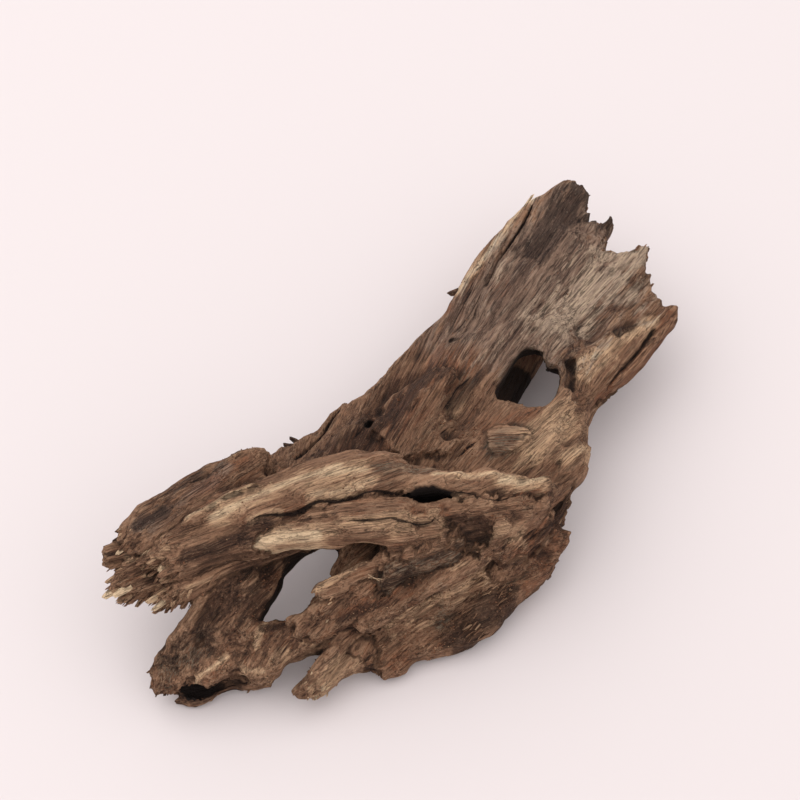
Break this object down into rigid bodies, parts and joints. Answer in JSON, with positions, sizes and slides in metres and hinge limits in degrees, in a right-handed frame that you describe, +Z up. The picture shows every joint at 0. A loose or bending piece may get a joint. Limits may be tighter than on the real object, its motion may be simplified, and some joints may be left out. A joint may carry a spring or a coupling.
{
  "type": "aquarium driftwood",
  "caption": "Weathered root wood for an aquarium: a flat blade with a hole through it, a thick log along the top and a split slab below, standing on low feet.",
  "frame": {"origin": "middle of the piece in plan, on the surface it rests on", "axes": "+X along the piece from its split foot to its broken blade, +Z up"},
  "size_m": [0.1904, 0.081, 0.0433],
  "materials": {
    "wood": "dry, rough and weathered, with open grain"
  },
  "bodies": {
    "root": {"driftwood": "wood"}
  },
  "joints": []
}
